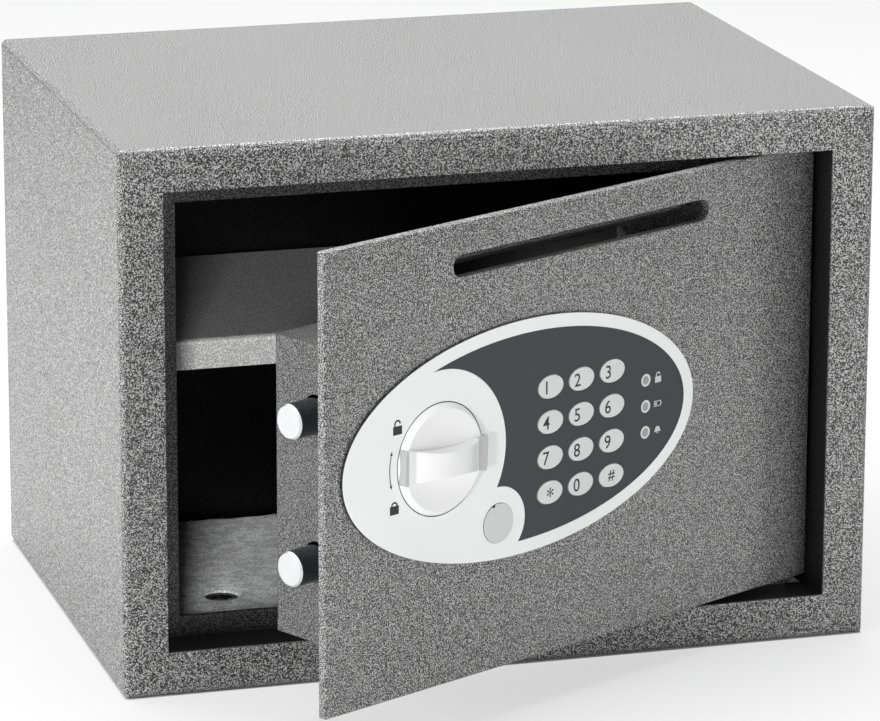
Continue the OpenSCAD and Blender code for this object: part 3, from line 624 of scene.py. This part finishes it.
battery_sign = [bar(*edges, lens_rows[1]) for edges in (
    (-2.4, -1.3, 2.0, -0.95), (-2.4, 0.95, 2.0, 1.3), (-2.4, -0.95, -2.05, 0.95),
    (1.65, -0.95, 2.0, 0.95), (2.0, -0.45, 2.5, 0.45), (-1.7, -0.6, -0.6, 0.6))]
bell_r, bell_z = 1.5, lens_rows[2]
bell_turns = [math.radians(a) for a in range(0, 181, 15)]
bell = [(sign_x + bell_r * math.cos(a), bell_z + bell_r * math.sin(a)) for a in bell_turns]
bell += [(sign_x - 2.1, bell_z - 1.1), (sign_x + 2.1, bell_z - 1.1)]
clapper = arc_band((sign_x, bell_z - 1.45), 0.25, 0.5, 180, 360, 8)
lamp_signs = padlock((sign_x, lens_rows[0]), 3.8) + battery_sign + [bell, clapper]
flat_shape("lamp_signs", lamp_signs, sign_white)


# ---------- felt mat ----------
# A loose sheet of grey needled felt, 3 mm thick, cut to the floor, with a hole over
# each anchor hole of the base and a nap of fine fibres.
felt = Finish("grey_felt", {"Sheen Weight": 0.4, "Sheen Roughness": 0.6, "Roughness": 0.95})
tangle = felt.noise(700.0, 4.0, 0.7)
clumps = felt.noise(160.0, 3.0, 0.6)
felt.feed({
    "Base Color": felt.mix(tangle.over(0.38, 0.62) * 0.6 + clumps.over(0.4, 0.6) * 0.4,
                           (0.22, 0.223, 0.226), (0.86, 0.865, 0.86)),
    "Normal": felt.bump(tangle + clumps * 0.5, 0.0009, 1.0),
})
mat_low, mat_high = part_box("floor_mat")
mat_hole, mat_hole_x, mat_top = 0.0085, 0.1, mat_high[2]
nap_sunk, nap_rounding, nap_ripple = 0.0008, 0.0009, 0.00022
mat_wide, mat_deep = mat_high[0] - mat_low[0], mat_high[1] - mat_low[1]
draw = random.Random(7)


def from_hole(x, y):
    """The distance to the middle of the nearer hole."""
    return math.hypot(abs(x) - mat_hole_x, y)


def mat_height(x, y):
    """The nap's uneven top, lower towards the cut edges and the holes."""
    edge = min(x - mat_low[0], mat_high[0] - x, y - mat_low[1], mat_high[1] - y)
    edge = min(edge, abs(from_hole(x, y) - mat_hole))
    soft = min(1.0, max(0.0, edge / 0.003))
    waves = math.sin(x * 151 + 1.3) * math.sin(y * 173 + 0.4) + 0.6 * math.sin(x * 397 + y * 311)
    return mat_top - nap_sunk - nap_rounding * (1 - soft) ** 2 + nap_ripple * waves


tool = bmesh.new()
pitch = 0.004
across, along = round(mat_wide / pitch), round(mat_deep / pitch)
grid = {}
for i in range(across + 1):
    for j in range(along + 1):
        x = mat_low[0] + mat_wide * i / across
        y = mat_low[1] + mat_deep * j / along
        away = from_hole(x, y)
        if away < mat_hole:
            continue
        if away < mat_hole + pitch * 0.7:
            side, scale = math.copysign(mat_hole_x, x), mat_hole / away
            x, y = side + (x - side) * scale, y * scale
        grid[i, j] = tool.verts.new((x, y, mat_height(x, y)))
for i in range(across):
    for j in range(along):
        around = ((i, j), (i + 1, j), (i + 1, j + 1), (i, j + 1))
        corners = [grid[k] for k in around if k in grid]
        if len(corners) >= 3:
            tool.faces.new(corners)
low_copy = bmesh.ops.duplicate(tool, geom=tool.verts[:] + tool.edges[:] + tool.faces[:])
for v in [v for v in low_copy["geom"] if isinstance(v, bmesh.types.BMVert)]:
    v.co.z = mat_low[2] + 0.0001
bmesh.ops.reverse_faces(tool, faces=[f for f in low_copy["geom"] if isinstance(f, bmesh.types.BMFace)])
rims = [e for e in tool.edges if e.is_boundary]
for edge in [e for e in rims if min(v.co.z for v in e.verts) > mat_low[2] + 0.001]:
    a, b = edge.verts
    tool.faces.new((a, b, low_copy["vert_map"][b], low_copy["vert_map"][a]))
bmesh.ops.recalc_face_normals(tool, faces=tool.faces)
mat_mesh = bpy.data.meshes.new("felt_mat")
tool.to_mesh(mat_mesh)
tool.free()
mat = piece("felt_mat", mat_mesh, felt.material, "cabinet", ("floor_mat",), 60.0)

# the nap: short bent fibres standing in the felt, thickest where the mat is seen
fibre_count, fibre_links, nap_margin = 12000, 3, 0.0002
fibre_points, fibre_faces = [], []
while len(fibre_faces) < fibre_links * fibre_count:
    x = mat_low[0] + mat_wide * draw.random()
    y = mat_low[1] + mat_deep * draw.random() ** 1.6
    if from_hole(x, y) < mat_hole + 0.0006:
        continue
    turn = draw.uniform(0, 2 * math.pi)
    length, lean = draw.uniform(0.0018, 0.0050), draw.uniform(0.5, 1.0)
    step = Vector((math.cos(turn), math.sin(turn), 0)) * length / fibre_links
    side = Vector((-math.sin(turn), math.cos(turn), 0)) * draw.uniform(0.00008, 0.00016)
    at = Vector((x, y, mat_height(x, y) - 0.0003))
    rise = draw.uniform(0.0003, 0.0009)
    base = len(fibre_points)
    for k, lift in enumerate((0.0, 0.75, 1.0, 0.55)):
        spot = at + step * k + Vector((0, 0, rise * lift * lean))
        spot.x = min(max(spot.x, mat_low[0] + nap_margin), mat_high[0] - nap_margin)
        spot.y = min(max(spot.y, mat_low[1] + nap_margin), mat_high[1] - nap_margin)
        fibre_points += [spot - side, spot + side]
    starts = [base + 2 * k for k in range(fibre_links)]
    fibre_faces += [(k, k + 1, k + 3, k + 2) for k in starts]
nap_mesh = bpy.data.meshes.new("felt_nap")
nap_mesh.from_pydata(fibre_points, [], fibre_faces)
nap = piece("felt_nap", nap_mesh, felt.material, "cabinet")


# ---------- small lamps for single things ----------
# The shelf's lip and the felt stand in the door's shadow, and the knob needs a light
# that rakes it from the left, so each has a small lamp of its own.
lamp("lamp_shelf", (-0.75, -2.0, 0.62), (-0.06, 0.0, 0.12), 0.25, 0.25, 40.0, (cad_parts["shelf"],))
on_plate = ("escutcheon", "knob_dial", "knob_grip", "keyhole_cap")
raked = [bpy.data.objects[name + "_eased"] for name in on_plate]
lamp("lamp_knob", (-1.35, -1.85, 0.3), (-0.03, -0.15, 0.12), 0.22, 0.22, 17.0, raked)
lamp("lamp_mat", (-0.75, -2.0, 0.62), (-0.06, 0.0, 0.02), 0.25, 0.25, 55.0, (mat, nap))
